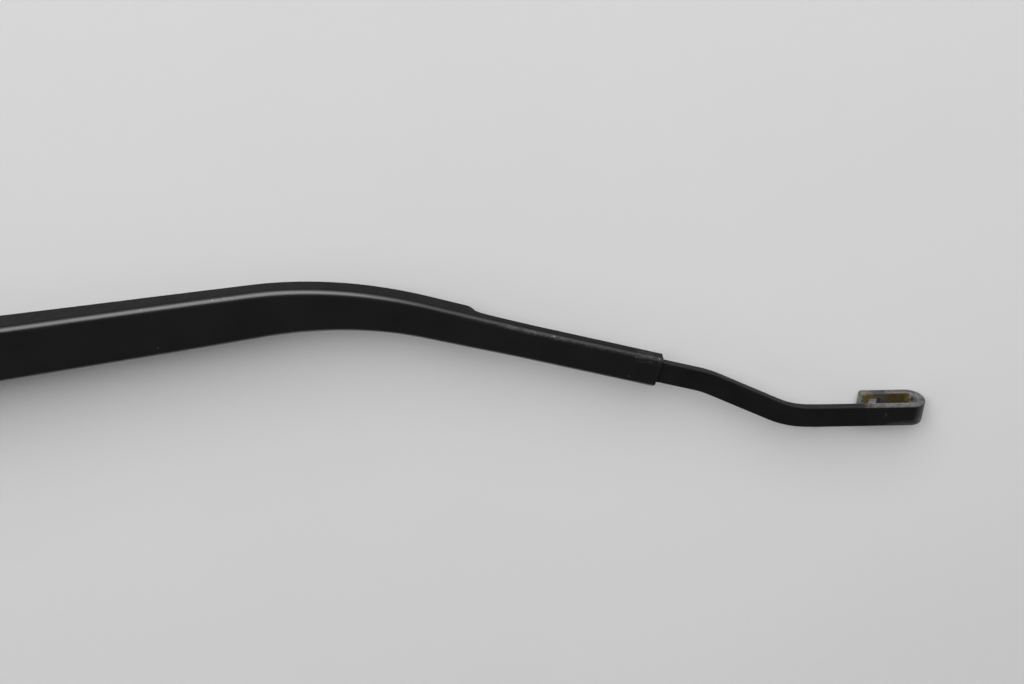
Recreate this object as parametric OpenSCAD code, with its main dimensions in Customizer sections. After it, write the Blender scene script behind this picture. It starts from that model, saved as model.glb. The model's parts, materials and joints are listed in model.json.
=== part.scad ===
// Wiper arm: a pressed channel that pivots on a die-cast head, with a flat bar crimped into its
// outer end and folded there into a hook for the blade.
// The origin is on the spindle's axis at the head's lower face. +Z points away from the glass and
// +X towards the hinge. The arm is drawn flat in a frame of its own on the hinge's axis.

/* [Plan of the arm] */
// Straight run of the channel from the hinge to the bow
root_run = 247; // [200:1:300]
// Turn of the bow, seen from above
bow_angle = 24; // [8:0.1:32]
// Radius of the bow on the centre line
bow_radius = 150.3; // [110:0.1:260]
// Straight run from the bow to the bar's first turn
sleeve_run = 105; // [102:0.1:140]
// First turn of the bar's S-bend
drop_angle = 11.2; // [4:0.1:25]
// Radius of that turn on the centre line
drop_radius = 38.4; // [20:0.1:80]
// Straight stretch between the two turns
drop_run = 26.2; // [10:0.1:60]
// Second turn, back towards the channel's direction
level_angle = 24.1; // [5:0.1:35]
// Radius of the second turn on the centre line
level_radius = 32.6; // [15:0.1:80]
// From the second turn to the hook's outermost point
tip_run = 48.2; // [40:0.1:80]
// Droop of the arm at its lower stop
arm_pitch = 1.72; // [0:0.01:4]

/* [Channel] */
// Thickness of the steel sheet
sheet = 1.2; // [0.9:0.05:1.4]
// Width over the flanges at the hinge
root_w = 28; // [26.5:0.1:32]
// Distance from the hinge to the middle station
mid_at = 150; // [110:1:180]
// Width at the middle station
mid_w = 22.8; // [20:0.1:26]
// Width where the bow starts
bow_w = 19.5; // [17:0.1:21]
// Width at the neck, just short of the bow's end
neck_w = 14.9; // [14:0.1:17]
// Distance from the neck to the bow's end
neck_back = 7; // [4:0.5:12]
// Width of the crimped sleeve
sleeve_w = 13.1; // [12.9:0.1:14]
// Depth of the flanges at the hinge
root_depth = 18.5; // [17:0.1:21]
// Depth of the flanges at the middle station
mid_depth = 11.2; // [9:0.1:13]
// Depth of the flanges where the bow starts
bow_depth = 7.7; // [7.2:0.1:9]
// Depth of the flanges at the neck and up to the folds
neck_depth = 7.6; // [7:0.1:8.5]
// Outer radius of the edge between face and flange
edge_r = 2.6; // [2:0.1:3.5]
// Inner radius of that edge along the sleeve, where the bar sits
sleeve_edge = 0.75; // [0.5:0.05:0.9]
// Distance from the bow's end to where the flanges start to turn in
crimp_at = 12.8; // [8:0.1:18]
// Length of the crimped sleeve
sleeve_len = 64.9; // [40:0.1:80]
// Length over which the flanges turn in to form the sleeve
fold_len = 12; // [6:0.5:16]
// How much wider the sleeve is at its mouth
mouth_flare = 0.4; // [0:0.05:1]
// Length over which the mouth narrows
mouth_len = 13; // [6:0.5:20]
// Inner radius of the sleeve's folds
fold_r = 0.6; // [0.4:0.05:0.8]
// Gap between the two folded lips
seam = 0.8; // [0.3:0.1:2]
// Corner clipped off the sleeve's outer end, on the side away from the bow's outside
clip = 1.4; // [0.4:0.1:1.8]

/* [Flat bar and hook] */
// Width of the bar
bar_w = 8.9; // [8:0.1:9.4]
// Thickness of the bar
bar_t = 3; // [2.5:0.1:4]
// Radius along the bar's edges
bar_edge = 0.4; // [0.2:0.05:0.8]
// Length of bar inside the channel, behind the sleeve
bar_tail = 18; // [8:1:30]
// Straight length before the hook's leg dips towards the glass
dip_at = 3; // [1:0.5:8]
// Dip of the hook's leg
dip_angle = 3.5; // [1:0.05:8]
// Radius of the bar's lower face in that dip
dip_r = 30; // [15:1:60]
// Clear gap inside the hook
hook_gap = 6.5; // [5:0.1:8]
// Length of the hook over its free leg and bend
hook_len = 24.7; // [20:0.1:32]
// Length of the window in the free leg
window_len = 4.5; // [3:0.1:7]
// Width of the window
window_w = 4.6; // [3:0.1:6]
// Corner radius of the window
window_corner = 0.8; // [0.3:0.1:1.4]
// Metal left between the window and the end of the leg
window_end = 3.7; // [2:0.1:6]
// Corner radius at the end of the free leg
leg_corner = 1; // [0.4:0.1:2]

/* [Mounting head] */
// Outer radius of the boss
boss_r = 13; // [12.5:0.1:16]
// Height of the boss
boss_h = 17; // [16:0.1:20]
// Chamfer round the boss's edges
boss_edge = 0.9; // [0.4:0.1:1.5]
// Radius of the serrated taper at the lower face
taper_r = 6.15; // [5.5:0.05:7]
// Radius of the same taper where it ends
taper_end_r = 5.4; // [4.8:0.05:5.5]
// Length of the taper
taper_len = 8; // [6:0.1:10]
// Number of serrations round the taper
teeth = 36; // [24:2:48]
// Depth of a serration
tooth = 0.4; // [0.2:0.05:0.5]
// Radius of the hole for the spindle's thread
stud_hole_r = 4.25; // [4:0.05:4.5]
// Thickness of the web that the nut clamps
web_t = 3; // [2.5:0.1:4]
// Radius of the recess for the nut
nut_room_r = 9.5; // [8.5:0.1:10.5]
// Half the width of the neck at its waist
waist = 8.5; // [7:0.1:10]
// Radius of the waist's side curves
waist_r = 45; // [35:1:70]
// Distance of the waist from halfway between boss and hinge, towards the boss
waist_back = 5; // [0:0.5:8]
// Height of the neck's top over the hinge pin's axis
neck_rise = 2; // [0:0.1:3]

/* [Hinge] */
// Distance from the spindle's axis to the hinge pin
hinge_x = 49; // [44:0.5:56]
// Height of the hinge pin over the head's lower face
hinge_z = 13; // [12:0.1:15]
// Height of the channel's face over the hinge pin
face_h = 8.5; // [8.2:0.1:10]
// How far the face's cut-out between the ears runs past the hinge
ear_cut = 2; // [0:0.1:4]
// Radius of the hinge pin
pin_r = 2.5; // [2:0.1:2.8]
// Wall of the bushes round the pin
bush_wall = 1; // [0.8:0.1:1.3]
// Thickness of a bush's flange
bush_flange = 0.9; // [0.6:0.1:1.2]
// Radius of a bush's flange
bush_flange_r = 5.5; // [4.8:0.1:6]
// Radius of the knuckle
knuckle_r = 6.9; // [6.4:0.1:6.9]
// Full lift of the arm
lift = 80; // [60:1:82]

/* [Spring and link] */
// Link pin's place behind the hinge pin
link_back = 2; // [1:0.1:2.4]
// Link pin's place below the hinge pin
link_down = 6.1; // [6:0.05:6.6]
// Radius of the link pin
link_pin_r = 1.75; // [1.5:0.05:1.85]
// Metal of the head round the link pin
lug_wall = 2.4; // [2:0.1:2.8]
// Thickness of the link
link_t = 4.6; // [3:0.1:4.6]
// Distance between the link's two eyes
link_len = 24; // [22:0.5:30]
// Width of metal in the link's arch
link_band = 3.3; // [2.5:0.1:3.6]
// Direction, from the link's own line, up to which its notch lies open
notch_open = 115; // [100:1:150]
// Height of the link's arm
link_arm = 6; // [5:0.1:7]
// Spring anchor's distance from the hinge along the channel
anchor_x = 95; // [80:1:120]
// Spring anchor's height over the hinge's level
anchor_z = 1; // [0:0.1:2]
// Radius of the anchor rivet
anchor_r = 2; // [1.5:0.1:2.2]
// Wire diameter of the spring
wire_d = 2; // [1.6:0.1:2]
// Outer diameter of the spring's coils
coil_d = 10; // [9.6:0.1:10.4]

/* [Rivets and cap] */
// How far a rivet's head stands out of the flange
rivet_head = 1.3; // [0.8:0.1:2]
// Radius of the hinge rivet's heads
hinge_head_r = 4.6; // [4:0.1:5.5]
// Radius of the anchor rivet's heads
anchor_head_r = 3.4; // [3:0.1:4]
// Height of a rivet head's rim
head_rim = 0.5; // [0.3:0.05:0.7]
// Height of the cap's crown
cap_top = 2.2; // [1.6:0.1:3]
// Height of the cap's rim
cap_rim = 1; // [0.6:0.1:1.4]
// Wall of the cap's skirt
cap_wall = 1.2; // [0.8:0.1:1.6]
// Length of the cap's skirt inside the recess
cap_skirt = 3.4; // [2:0.1:4]

/* [Hidden] */
$fn = 48;
eps = 0.01;

// Clearances
fit_gap = 0.02;
run_gap = 0.05;
side_gap = 0.3;
link_side = 0.4;
wall_gap = 0.1;
pin_pass = 0.45;
eye_room = 0.8;
eye_step = 0.2;

black = [0.05, 0.045, 0.05];
casting = [0.1, 0.1, 0.105];
steel = [0.45, 0.45, 0.47];
bronze = [0.62, 0.5, 0.3];
plastic = [0.06, 0.06, 0.065];

// A line is a list of rows: a straight run, the turn after it (left is positive) and its radius
plan = [[root_run, -bow_angle, bow_radius], [sleeve_run, -drop_angle, drop_radius],
        [drop_run, level_angle, level_radius], [tip_run, 0, 1]];
function arc_len(i, line = plan) = line[i][2] * abs(line[i][1]) * PI / 180;
function run_start(i, line = plan) = i == 0 ? 0 : run_start(i - 1, line) + line[i - 1][0] + arc_len(i - 1, line);
function left_of(h) = [-sin(h), cos(h)];

// Place and heading at distance s along a line
function place_at(s, line = plan, i = 0, p = [0, 0], h = 0) =
    let (run = line[i][0], turn = line[i][1], r = line[i][2] * sign(turn), q = p + [cos(h), sin(h)] * run)
    (s <= run || i == len(line) - 1) ? concat(p + [cos(h), sin(h)] * s, h) :
    s <= run + arc_len(i, line) ?
        let (a = (s - run) / r * 180 / PI) concat(q + r * (left_of(h) - left_of(h + a)), h + a) :
    place_at(s - run - arc_len(i, line), line, i + 1, q + r * (left_of(h) - left_of(h + turn)), h + turn);

// Distances at which a sweep along a line has rings: its ends and the steps of its turns
bend_step = 5;
function stops(line) = concat([0],
    [for (i = [0:len(line) - 2]) let (n = ceil(abs(line[i][1]) / bend_step)) for (k = [0:n])
        run_start(i, line) + line[i][0] + arc_len(i, line) * k / n],
    [run_start(len(line) - 1, line) + line[len(line) - 1][0]]);

// Distances along the centre line
bow_at = run_start(0) + root_run;
bow_end = run_start(1);
fold_at = bow_end + crimp_at;
sleeve_at = fold_at + fold_len;
sleeve_end = sleeve_at + sleeve_len;
neck_at = bow_end - neck_back;
bar_from = sleeve_at - bar_tail;

// Width and depth of the channel at its stations, joined by smooth curves
stations = [[0, root_w, root_depth], [mid_at, mid_w, mid_depth], [bow_at, bow_w, bow_depth],
            [neck_at, neck_w, neck_depth], [sleeve_at, sleeve_w + mouth_flare, neck_depth],
            [sleeve_at + mouth_len, sleeve_w, neck_depth]];
function grade(t, c, i) =
    let (a = max(i - 1, 0), b = min(i + 1, len(t) - 1)) (t[b][c] - t[a][c]) / (t[b][0] - t[a][0]);
function smooth(t, c, s, i = 0) =
    s < t[0][0] ? t[0][c] + grade(t, c, 0) * (s - t[0][0]) :
    s > t[len(t) - 1][0] ? t[len(t) - 1][c] :
    s > t[i + 1][0] ? smooth(t, c, s, i + 1) :
    let (d = t[i + 1][0] - t[i][0], k = (s - t[i][0]) / d)
    t[i][c] * (1 + 2 * k) * (1 - k) * (1 - k) + t[i + 1][c] * k * k * (3 - 2 * k)
    + grade(t, c, i) * d * k * (1 - k) * (1 - k) - grade(t, c, i + 1) * d * k * k * (1 - k);
function ease(k) = k <= 0 ? 0 : k >= 1 ? 1 : k * k * (3 - 2 * k);
function mix(a, b, k) = a + (b - a) * k;

// Cross-section of the sheet: face, rounded edge, flange and a lip that folds in at the sleeve
sleeve_edge_r = sheet + sleeve_edge;
flange_flat = bar_t - sleeve_edge - fold_r;
fold_arc = (fold_r + sheet / 2) * PI / 2;
sleeve_lip = sleeve_w / 2 - sheet - fold_r - seam / 2;
edge_steps = 6;
fold_steps = 4;
function fold_share(s) = ease((s - fold_at) / fold_len);
function edge_at(s) = mix(edge_r, sleeve_edge_r, ease((s - bow_at) / (sleeve_at - bow_at)));
function half_at(s) = smooth(stations, 1, s) / 2;
function depth_at(s) = smooth(stations, 2, s);
function lip_at(s) =
    mix(depth_at(s) - edge_at(s) - flange_flat - fold_arc, sleeve_lip, fold_share(s));

// One side of the section, on the sheet's outer (side = 1) or inner (side = -1) surface
function flank(s, side) =
    let (h = half_at(s), r = edge_at(s), rr = side > 0 ? r : r - sheet,
         turn = max(90 * fold_share(s), 0.5), n = h - sheet / 2, m = r + flange_flat,
         fr = fold_arc / (turn * PI / 180), out = side * sheet / 2)
    concat(
        [for (k = [0:edge_steps]) let (b = 90 * k / edge_steps) [h - r + rr * sin(b), r - rr * cos(b)]],
        [for (k = [0:fold_steps]) let (b = turn * k / fold_steps)
            [n - fr * (1 - cos(b)) + out * cos(b), m + fr * sin(b) + out * sin(b)]],
        [[n - fr * (1 - cos(turn)) - lip_at(s) * sin(turn) + out * cos(turn),
          m + fr * sin(turn) + lip_at(s) * cos(turn) + out * sin(turn)]]);
function mirrored(p) = [for (k = [len(p) - 1:-1:0]) [-p[k][0], p[k][1]]];
function backwards(p) = [for (k = [len(p) - 1:-1:0]) p[k]];
function section(s) =
    let (outer = flank(s, 1), inner = flank(s, -1))
    concat(mirrored(outer), outer, backwards(inner), backwards(mirrored(inner)));
section_n = 4 * (edge_steps + fold_steps + 3);
function ring_at(s) =
    let (p = place_at(s)) [for (q = section(s)) concat([p[0], p[1]] + left_of(p[2]) * q[0], face_h - q[1])];
// The sleeve's end, with its clipped corner
function end_ring() = [for (q = section(sleeve_end))
    let (p = place_at(sleeve_end - max(0, clip - sleeve_w / 2 - q[0])))
    concat([p[0], p[1]] + left_of(p[2]) * q[0], face_h - q[1])];

// The root end is round, so the channel starts that far behind the hinge
ear_r = root_depth / 2;
ear_z = face_h - ear_r;
ring_places = concat(
    [for (k = [0:12]) mix(-ear_r - sheet, bow_at, k / 12)],
    [for (k = [1:11]) mix(bow_at, bow_end, k / 11)],
    [for (k = [0:9]) mix(fold_at, sleeve_at, k / 9)],
    [for (k = [1:2]) mix(sleeve_at, sleeve_at + mouth_len, k / 2)]);

// Triangles between rings of n points each, for a skin over m rings
function side_faces(m, n) = [for (i = [0:m - 2], j = [0:n - 1]) for (k = [0:1])
    let (a = i * n + j, b = i * n + (j + 1) % n) k == 0 ? [a, b, b + n] : [a, b + n, a + n]];
function flat(v) = [for (a = v) for (b = a) b];

// Hinge, link pin and spring anchor in the head's frame, as [x, z]
hinge = [hinge_x, hinge_z];
link_pin_at = hinge + [-link_back, -link_down];
function turned(p, a) = [p[0] * cos(a) - p[1] * sin(a), p[0] * sin(a) + p[1] * cos(a)];
function anchor_at(up) = hinge + turned([anchor_x, anchor_z], up - arm_pitch);
function angle_of(v) = atan2(v[1], v[0]);
link_angle = angle_of(anchor_at(0) - link_pin_at);
link_turn = angle_of(anchor_at(lift) - link_pin_at) - link_angle;
pin_reach = norm(hinge - link_pin_at);
notch_angle = angle_of(hinge - link_pin_at) - link_angle - link_turn;
spring_len = norm(anchor_at(0) - link_pin_at) - link_len;

// Hinge stack across the channel
inner_half = root_w / 2 - sheet;
bush_out = inner_half - side_gap;
cheek_out = bush_out - bush_flange;
slot_half = link_t / 2 + link_side;
bush_r = pin_r + run_gap + bush_wall;
lug_r = link_pin_r + lug_wall;
neck_low = hinge_z - link_down - lug_r;
neck_top = hinge_z + neck_rise;
nut_floor = taper_len + web_t;

module at_hinge() { translate([hinge_x, 0, hinge_z]) children(); }
module in_arm() { at_hinge() rotate([0, arm_pitch, 0]) children(); }
module along(s) {
    p = place_at(s);
    translate([p[0], p[1], 0]) rotate([0, 0, p[2]]) children();
}
// A flat outline in x and z, as thick as w across the arm
module across(w) { rotate([90, 0, 0]) linear_extrude(height = w, center = true) children(); }
module cross_rod(r, w) { rotate([90, 0, 0]) cylinder(r = r, h = w, center = true); }
// Sector of a disc from direction a to direction b
module sector(r, a, b) {
    intersection() {
        circle(r = r, $fn = 96);
        polygon(concat([[0, 0]], [for (k = [0:4]) let (t = mix(a, b, k / 4)) [cos(t), sin(t)] * r * 1.5]));
    }
}

module retainer() {
    n = len(ring_places) + 1;
    half = section_n / 2;
    last = (n - 1) * section_n;
    points = concat(flat([for (s = ring_places) ring_at(s)]), end_ring());
    start_cap = [for (j = [0:half - 2]) [j, section_n - 1 - j, section_n - 2 - j, j + 1]];
    end_cap = [for (j = [0:half - 2]) [last + j, last + j + 1, last + section_n - 2 - j, last + section_n - 1 - j]];
    color(black) in_arm() difference() {
        polyhedron(points = points, faces = concat(side_faces(n, section_n), start_cap, end_cap));
        // round ears at the root
        across(2 * root_w) difference() {
            translate([-2 * ear_r, ear_z - 2 * ear_r]) square([2 * ear_r, 4 * ear_r]);
            translate([0, ear_z]) circle(r = ear_r, $fn = 96);
        }
        // the face stops short between the ears
        translate([-2 * ear_r, -cheek_out - side_gap, 0])
            cube([2 * ear_r + ear_cut, 2 * (cheek_out + side_gap), 2 * face_h]);
        cross_rod(pin_r + fit_gap, 2 * root_w);
        translate([anchor_x, 0, anchor_z]) cross_rod(anchor_r + fit_gap, 2 * root_w);
    }
}

// The bar lies against the inside of the channel's face
bar_top = face_h - sheet;
bar_places = concat([bar_from], [for (s = stops(plan)) if (s > bar_from + eps && s < run_start(3) - eps) s],
                    [run_start(3)]);
// Side view of the hook: level lead, dip towards the glass, leg, half-round bend, free leg
hook_r = hook_gap / 2 + bar_t;
dip_arc = (dip_r + bar_t) * dip_angle * PI / 180;
leg_len = tip_run - dip_at - dip_arc - hook_r;
hook_line = [[dip_at, -dip_angle, dip_r + bar_t / 2], [leg_len, -180, hook_r - bar_t / 2],
             [hook_len - hook_r, 0, 1]];
hook_end = run_start(2, hook_line) + hook_len - hook_r;
corner_steps = 5;
hook_places = concat([for (s = stops(hook_line)) if (s > eps && s < hook_end - leg_corner - eps) s],
                     [for (k = [0:corner_steps]) hook_end - leg_corner * cos(90 * k / corner_steps)]);

// Section of the bar: a flat with rounded edges, w wide
function bar_section(w) = [for (q = [0:3]) for (k = [0:2])
    let (a = 45 * k + 90 * q, sx = q == 0 || q == 3 ? 1 : -1, sy = q < 2 ? 1 : -1)
    [sx * (w / 2 - bar_edge) + bar_edge * cos(a), sy * (bar_t / 2 - bar_edge) + bar_edge * sin(a)]];
bar_n = len(bar_section(bar_w));
function bar_ring(p, side, up, w) = [for (q = bar_section(w)) p + side * q[0] + up * q[1]];
function flat_ring(s) =
    let (p = place_at(s), l = left_of(p[2])) bar_ring([p[0], p[1], bar_top - bar_t / 2], [l[0], l[1], 0], [0, 0, 1], bar_w);
// The end of the free leg narrows round its corners
function leg_width(s) = let (d = max(leg_corner - (hook_end - s), 0)) bar_w - 2 * (leg_corner - sqrt(leg_corner * leg_corner - d * d));
function hook_ring(s) =
    let (e = place_at(run_start(3)), l = left_of(e[2]), fore = [cos(e[2]), sin(e[2]), 0], p = place_at(s, hook_line))
    bar_ring([e[0], e[1], bar_top - bar_t / 2 + p[1]] + fore * p[0], [l[0], l[1], 0],
             [0, 0, cos(p[2])] - fore * sin(p[2]), leg_width(s));
module rounded(l, w, r) {
    translate([r, 0]) square([l - 2 * r, w]);
    translate([0, r]) square([l, w - 2 * r]);
    for (x = [r, l - r], y = [r, w - r]) translate([x, y]) circle(r = r);
}
module window() {
    translate([dip_at, 0, -bar_t - dip_r]) rotate([0, dip_angle, 0])
        translate([leg_len + hook_r - hook_len, 0, dip_r + bar_t - 2 * hook_r])
            translate([window_end, -window_w / 2, -bar_t / 2])
                linear_extrude(height = 2 * bar_t) rounded(window_len, window_w, window_corner);
}
module arm_strip() {
    rings = concat([for (s = bar_places) flat_ring(s)], [for (s = hook_places) hook_ring(s)]);
    color(black) in_arm() difference() {
        polyhedron(points = flat(rings), faces = concat(side_faces(len(rings), bar_n),
            [[for (j = [bar_n - 1:-1:0]) j]], [[for (j = [0:bar_n - 1]) (len(rings) - 1) * bar_n + j]]));
        along(run_start(3)) translate([0, 0, bar_top]) window();
    }
}

// Side view of the head from boss to knuckle, in x and z
module head_side() {
    translate(hinge) circle(r = knuckle_r);
    hull() {
        translate(link_pin_at) circle(r = lug_r);
        translate(hinge) circle(r = knuckle_r / 2);
    }
    polygon([[boss_r / 2, neck_low], [link_pin_at[0], neck_low], [hinge_x, hinge_z],
             [hinge_x, neck_top], [boss_r / 2, neck_top]]);
}
module head_plan() {
    difference() {
        translate([0, -cheek_out]) square([hinge_x + 2 * knuckle_r, 2 * cheek_out]);
        for (side = [-1, 1])
            translate([(boss_r + hinge_x) / 2 - waist_back, side * (waist + waist_r)]) circle(r = waist_r, $fn = 96);
    }
}
module boss() {
    inner = boss_r - boss_edge;
    rotate_extrude($fn = 96) polygon([[0, 0], [inner, 0], [boss_r, boss_edge], [boss_r, boss_h - boss_edge],
                                      [inner, boss_h], [0, boss_h]]);
}
module serrated_taper() {
    linear_extrude(height = taper_len, scale = taper_end_r / taper_r)
        polygon([for (k = [0:2 * teeth - 1]) let (a = 180 * k / teeth)
            [cos(a), sin(a)] * (taper_r - (k % 2) * tooth)]);
}
module mounting_head() {
    color(casting) difference() {
        union() {
            boss();
            intersection() {
                across(4 * cheek_out) head_side();
                linear_extrude(height = 2 * boss_h) head_plan();
            }
        }
        translate([0, 0, -eps]) serrated_taper();
        cylinder(r = stud_hole_r, h = boss_h, $fn = 96);
        translate([0, 0, nut_floor]) cylinder(r = nut_room_r, h = boss_h, $fn = 96);
        // slot for the link, with a round end
        translate([hinge_x - knuckle_r, -slot_half, -boss_h]) cube([4 * knuckle_r, 2 * slot_half, 4 * boss_h]);
        translate([hinge_x - knuckle_r, 0, -boss_h]) cylinder(r = slot_half, h = 4 * boss_h);
        at_hinge() cross_rod(bush_r + fit_gap, 4 * cheek_out);
        translate([link_pin_at[0], 0, link_pin_at[1]]) cross_rod(link_pin_r + fit_gap, 4 * cheek_out);
    }
}

module hinge_bush(side) {
    color(bronze) at_hinge() rotate([side > 0 ? -90 : 90, 0, 0]) difference() {
        union() {
            translate([0, 0, slot_half]) cylinder(r = bush_r, h = bush_out - slot_half);
            translate([0, 0, cheek_out]) cylinder(r = bush_flange_r, h = bush_flange);
        }
        cylinder(r = pin_r + run_gap, h = 2 * bush_out);
    }
}
module hinge_bush_left() { hinge_bush(1); }
module hinge_bush_right() { hinge_bush(-1); }

// A low dome: r is its radius, rim the height of its edge and h its height at the middle
module dome(r, rim, h) {
    ball = (r * r + (h - rim) * (h - rim)) / (2 * (h - rim));
    rotate_extrude($fn = 96) intersection() {
        square([r, h]);
        translate([0, h - ball]) circle(r = ball, $fn = 192);
    }
}
// A rivet across the channel: w is the width over the flanges where it sits
module rivet(r, head_r, w) {
    cross_rod(r, w + 2 * wall_gap);
    for (side = [-90, 90]) rotate([side, 0, 0]) translate([0, 0, w / 2 + wall_gap])
        dome(head_r, head_rim, rivet_head);
}
module hinge_pin() { color(steel) in_arm() rivet(pin_r, hinge_head_r, root_w); }
module spring_anchor() {
    color(steel) in_arm() translate([anchor_x, 0, anchor_z])
        rivet(anchor_r, anchor_head_r, 2 * half_at(anchor_x - anchor_head_r));
}
module link_pin() {
    color(steel) translate([link_pin_at[0], 0, link_pin_at[1]]) cross_rod(link_pin_r, 2 * (cheek_out - side_gap));
}

// The link's frame: origin on the link pin, +X towards the spring
module in_link() { translate([link_pin_at[0], 0, link_pin_at[1]]) rotate([0, -link_angle, 0]) children(); }
notch_r = pin_r + pin_pass;
eye_r = pin_reach - notch_r - eye_step;
far_eye_r = wire_d / 2 + eye_room;
module spring_link() {
    notch_at = [cos(notch_angle), sin(notch_angle)] * pin_reach;
    eye_x = link_len + eye_room / 2;
    color(steel) in_link() across(link_t) difference() {
        union() {
            circle(r = eye_r);
            difference() {
                union() {
                    translate(notch_at) circle(r = notch_r + link_band, $fn = 96);
                    translate([pin_reach, -link_arm / 2]) square([eye_x - pin_reach, link_arm]);
                    translate([eye_x, 0]) circle(r = link_arm / 2);
                }
                sector(pin_reach + notch_r + eye_step, notch_angle, notch_open);
                translate(notch_at) circle(r = notch_r, $fn = 96);
            }
        }
        circle(r = link_pin_r + run_gap);
        translate([eye_x, 0]) circle(r = far_eye_r);
    }
}

// Wire of the spring: hook through the link's eye, close coils, hook round the anchor rivet
coil_r = (coil_d - wire_d) / 2;
far_hook = spring_len + anchor_r + run_gap + wire_d / 2 - coil_r;
lead = wire_d;
lead_turn = 60;
pitch_share = 1.03;
coil_room = far_hook - coil_r - 2 * lead;
turns = floor(coil_room / (wire_d * pitch_share) - 1 / 4);
sweep = 360 * turns + 90;
per_turn = 12;
steps = turns * per_turn + 3;
// Along the coil: an even pitch, with a quarter wave of the lead at either end where the wire runs into a hook
function coil_x(b) = coil_r + coil_room * b / sweep + lead * sin(90 * min(b / lead_turn, 1))
    + lead * (1 - cos(90 * max(1 - (sweep - b) / lead_turn, 0)));
wire_path = concat(
    [for (a = [-80:20:80]) [[coil_r - coil_r * cos(a), coil_r * sin(a), 0], [-cos(a), sin(a), 0]]],
    [for (k = [0:steps]) let (b = sweep * k / steps)
        [[coil_x(b), coil_r * cos(b), coil_r * sin(b)], [0, cos(b), sin(b)]]],
    [for (a = [20:20:160]) [[far_hook + coil_r * sin(a), 0, coil_r * cos(a)], [sin(a), 0, cos(a)]]]);
wire_sides = 6;
function unit(v) = v / norm(v);
function wire_ring(k) =
    let (n = len(wire_path), t = unit(wire_path[min(k + 1, n - 1)][0] - wire_path[max(k - 1, 0)][0]),
         raw = wire_path[k][1], e = unit(raw - t * (raw * t)), f = cross(t, e))
    [for (j = [0:wire_sides - 1]) let (a = -360 * j / wire_sides)
        wire_path[k][0] + (e * cos(a) + f * sin(a)) * wire_d / 2];
module tension_spring() {
    n = len(wire_path);
    m = wire_sides;
    color(steel) in_link() translate([link_len, 0, 0])
        polyhedron(points = flat([for (k = [0:n - 1]) wire_ring(k)]),
                   faces = concat(side_faces(n, m), [[for (j = [m - 1:-1:0]) j]],
                                  [[for (j = [0:m - 1]) (n - 1) * m + j]]));
}

module nut_cap() {
    skirt_r = nut_room_r - wall_gap;
    color(plastic) translate([0, 0, boss_h]) {
        dome(boss_r - boss_edge, cap_rim, cap_top);
        translate([0, 0, -cap_skirt]) difference() {
            cylinder(r = skirt_r, h = cap_skirt + eps, $fn = 96);
            translate([0, 0, -eps]) cylinder(r = skirt_r - cap_wall, h = cap_skirt + eps, $fn = 96);
        }
    }
}

retainer();
arm_strip();
mounting_head();
hinge_pin();
hinge_bush_left();
hinge_bush_right();
link_pin();
spring_link();
tension_spring();
spring_anchor();
nut_cap();
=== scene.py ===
import bpy
import json
import math
import numpy as np
from mathutils import Matrix, Vector

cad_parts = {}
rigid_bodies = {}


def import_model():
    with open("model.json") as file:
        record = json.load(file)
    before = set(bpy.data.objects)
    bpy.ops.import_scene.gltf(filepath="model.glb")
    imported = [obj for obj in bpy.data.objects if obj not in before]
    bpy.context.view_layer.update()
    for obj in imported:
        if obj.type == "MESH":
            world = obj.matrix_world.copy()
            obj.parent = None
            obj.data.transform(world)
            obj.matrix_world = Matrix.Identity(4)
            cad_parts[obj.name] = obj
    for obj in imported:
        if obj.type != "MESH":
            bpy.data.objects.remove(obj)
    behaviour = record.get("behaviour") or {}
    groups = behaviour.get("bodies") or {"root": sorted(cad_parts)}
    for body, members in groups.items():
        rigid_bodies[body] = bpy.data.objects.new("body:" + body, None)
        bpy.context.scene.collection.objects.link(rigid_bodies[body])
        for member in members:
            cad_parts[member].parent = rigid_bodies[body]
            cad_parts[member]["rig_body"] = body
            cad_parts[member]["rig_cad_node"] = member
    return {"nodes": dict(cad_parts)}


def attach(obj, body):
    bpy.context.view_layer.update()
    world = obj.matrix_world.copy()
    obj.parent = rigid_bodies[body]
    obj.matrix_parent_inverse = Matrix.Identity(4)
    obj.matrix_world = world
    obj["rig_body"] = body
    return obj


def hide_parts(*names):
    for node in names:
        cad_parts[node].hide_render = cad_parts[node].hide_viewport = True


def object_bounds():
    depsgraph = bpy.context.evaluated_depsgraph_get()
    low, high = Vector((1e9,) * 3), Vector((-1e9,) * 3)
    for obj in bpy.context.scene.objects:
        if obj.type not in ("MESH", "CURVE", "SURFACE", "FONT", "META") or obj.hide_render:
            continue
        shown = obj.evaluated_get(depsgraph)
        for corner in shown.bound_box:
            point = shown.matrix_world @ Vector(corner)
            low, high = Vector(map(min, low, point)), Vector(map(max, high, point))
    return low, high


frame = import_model()
cadBox = [list(corner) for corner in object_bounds()]
mm = 0.001
print("frame loaded")

# The arm's own frame sits on the hinge, pitched down a little; sizes here are in millimetres
armFrame = {"hinge": (49, 0, 13), "pitch": 1.72, "face": 8.5, "sheet": 1.2}
# Centre line seen from above: rows of straight run, turn in degrees (left is positive), radius
planLine = [(247, -24, 150.3), (105, -11.2, 38.4), (26.2, 24.1, 32.6), (48.2, 0, 1)]


def rowStart(rows, index):  # sum of the runs and arcs before a row
    return sum(run + radius * abs(math.radians(turn)) for run, turn, radius in rows[:index])


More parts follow.
